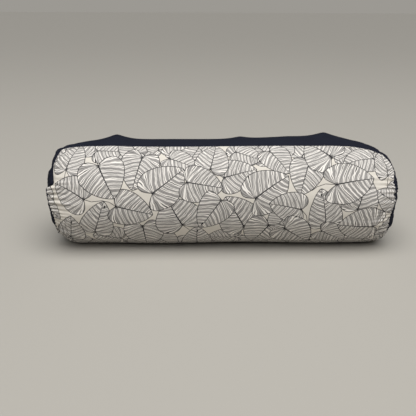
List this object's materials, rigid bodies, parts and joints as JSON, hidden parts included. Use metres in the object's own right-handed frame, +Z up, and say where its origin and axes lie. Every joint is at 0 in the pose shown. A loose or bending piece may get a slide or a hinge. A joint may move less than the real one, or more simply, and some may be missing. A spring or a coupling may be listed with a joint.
{
  "type": "yoga bolster",
  "caption": "Round filled yoga bolster with a leaf-line printed cream front panel, a plain navy back panel and round navy end panels, resting on its flattened underside.",
  "frame": {"origin": "on the floor, under the middle of the bolster", "axes": "+X along the bolster, towards its right end seen from the printed front; +Z up; the printed front faces -Y"},
  "size_m": [0.6642, 0.2044, 0.2051],
  "materials": {
    "navy_canvas": "matt woven cotton canvas, dyed near-black navy",
    "leaf_print_canvas": "matt woven cotton canvas, cream, printed with thin dark outlines of large overlapping leaves"
  },
  "bodies": {
    "root": {"bolster_body": "navy_canvas", "front_panel": "leaf_print_canvas", "end_left": "navy_canvas", "end_right": "navy_canvas"}
  },
  "joints": []
}
